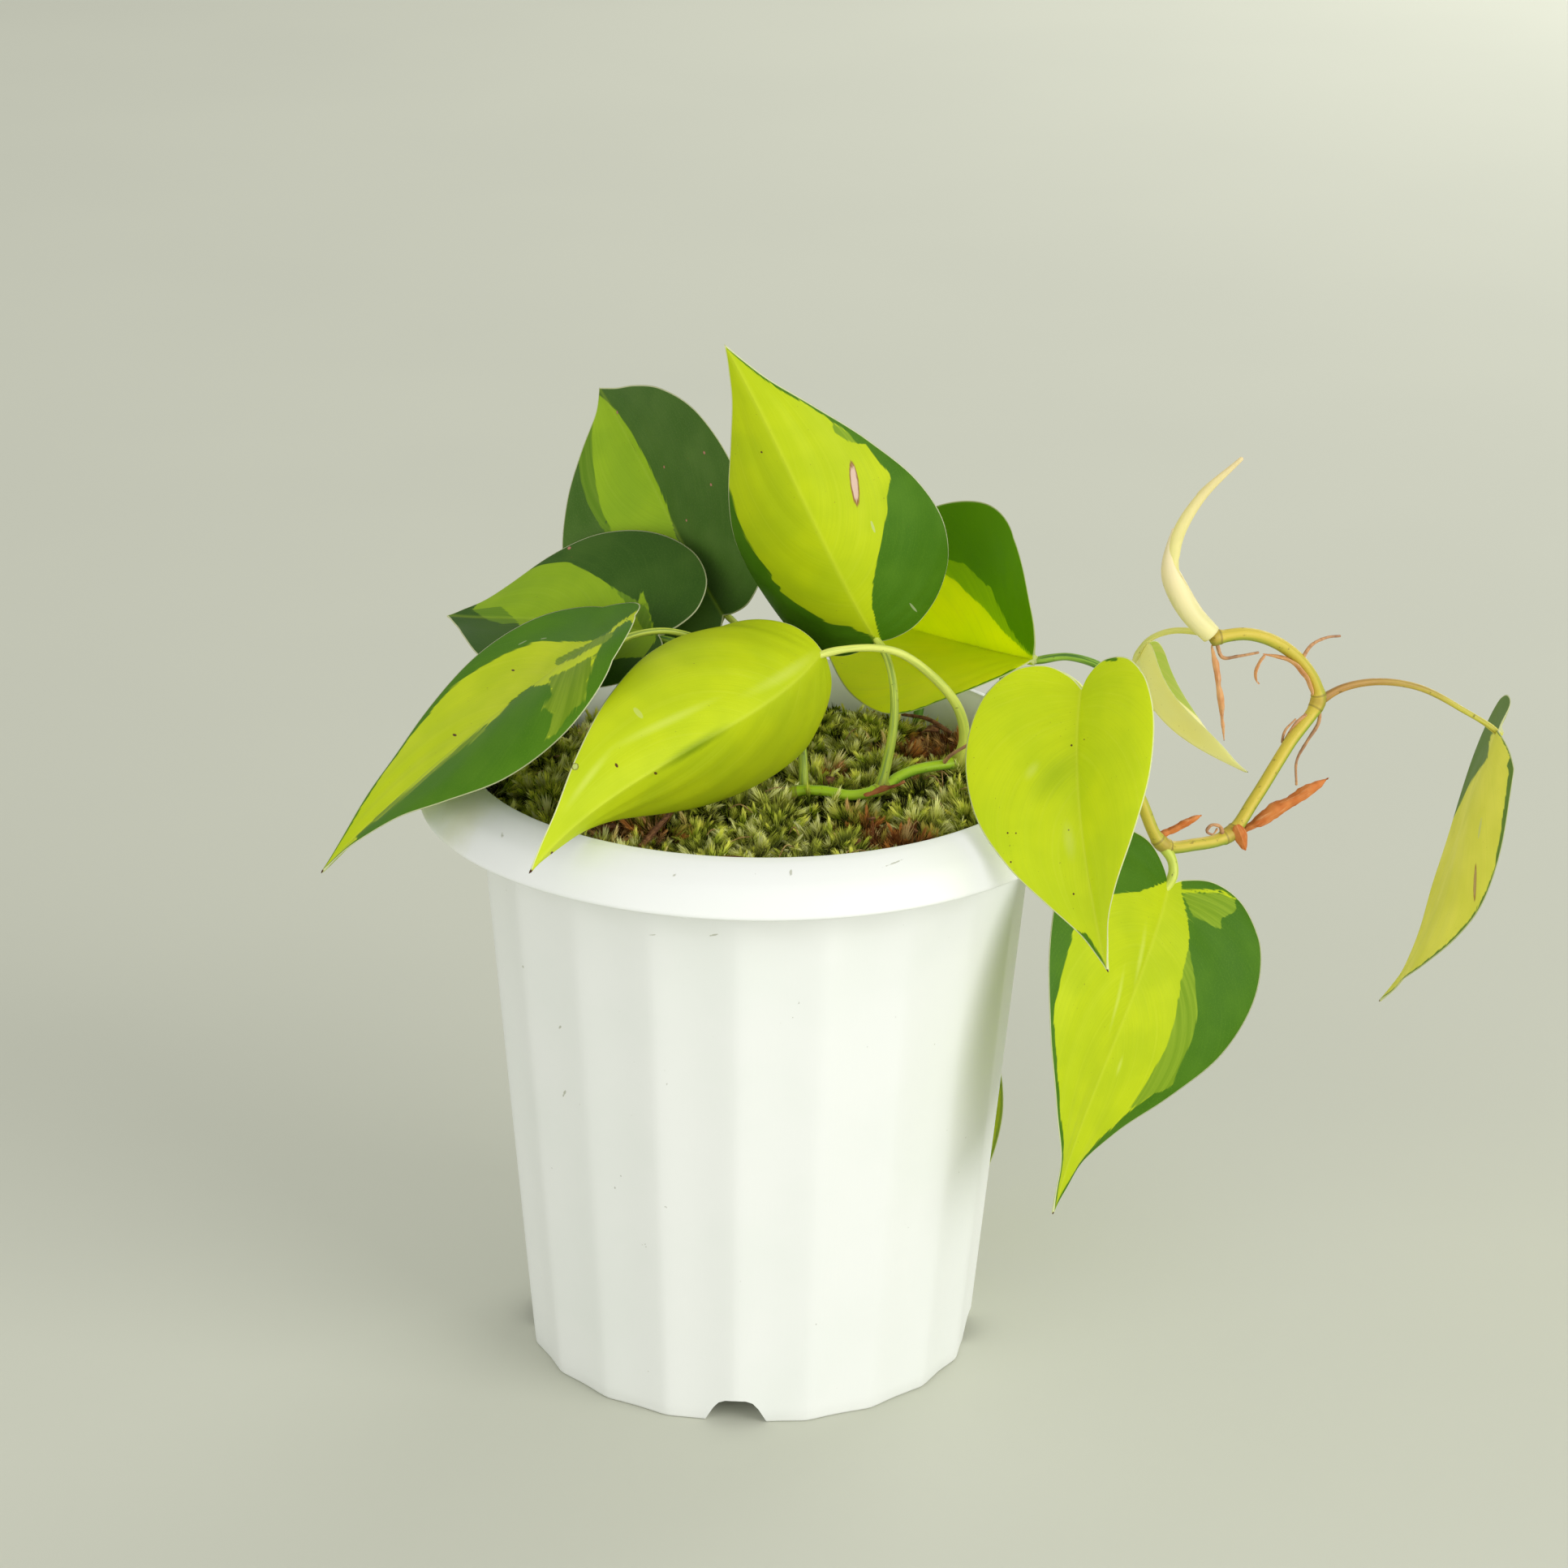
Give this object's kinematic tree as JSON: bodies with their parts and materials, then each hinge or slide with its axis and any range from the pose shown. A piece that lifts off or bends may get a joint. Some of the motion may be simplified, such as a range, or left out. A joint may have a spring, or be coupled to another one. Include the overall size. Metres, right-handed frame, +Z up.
{
  "type": "potted brasil philodendron",
  "caption": "Trailing heart-leaf philodendron with lime and dark green leaves in a white fluted nursery pot with a mossy top.",
  "frame": {"origin": "centre of the pot's foot, on the surface it stands on", "axes": "+Z up along the pot's axis; -Y to the front, where the picture was taken from; +X to the right, where the vine trails"},
  "size_m": [0.2711, 0.1508, 0.237],
  "materials": {
    "pot": "satin moulded plastic, shallow upright flutes",
    "potting_soil": "loose dark potting mix",
    "moss": "feathery living moss, green to straw, with brown bits",
    "stem": "smooth lime and green vine, satin",
    "leaf_lime": "leathery satin leaf, lime, raised midrib",
    "leaf_variegated": "leathery satin leaf, lime heart with dark green flanks",
    "leaf_young": "soft pale young leaf",
    "shoot": "thin pale sheath, slightly see-through",
    "dry_sheath": "papery dried orange-brown sheath",
    "air_root": "thin brown air root"
  },
  "bodies": {
    "root": {"pot": "pot", "potting_soil": "potting_soil", "moss_bed": "moss", "main_stem": "stem", "leaf_front": "leaf_lime", "leaf_front_left": "leaf_variegated", "leaf_left": "leaf_variegated", "leaf_back_left": "leaf_variegated", "leaf_top": "leaf_variegated", "leaf_back_right": "leaf_variegated", "leaf_front_right": "leaf_lime", "leaf_hanging": "leaf_variegated", "leaf_far_right": "leaf_variegated", "leaf_young": "leaf_young", "leaf_behind_pot": "leaf_variegated", "rolled_leaf": "leaf_young", "shoot_sheath": "shoot", "dry_sheath_hanging": "dry_sheath", "dry_sheath_bend": "dry_sheath", "dry_sheath_long": "dry_sheath", "dry_sheath_arch": "dry_sheath", "dry_sheath_tip": "dry_sheath", "air_root_far_right": "air_root", "air_root_arch": "air_root", "air_root_tip": "air_root", "air_root_front": "air_root"}
  },
  "joints": []
}
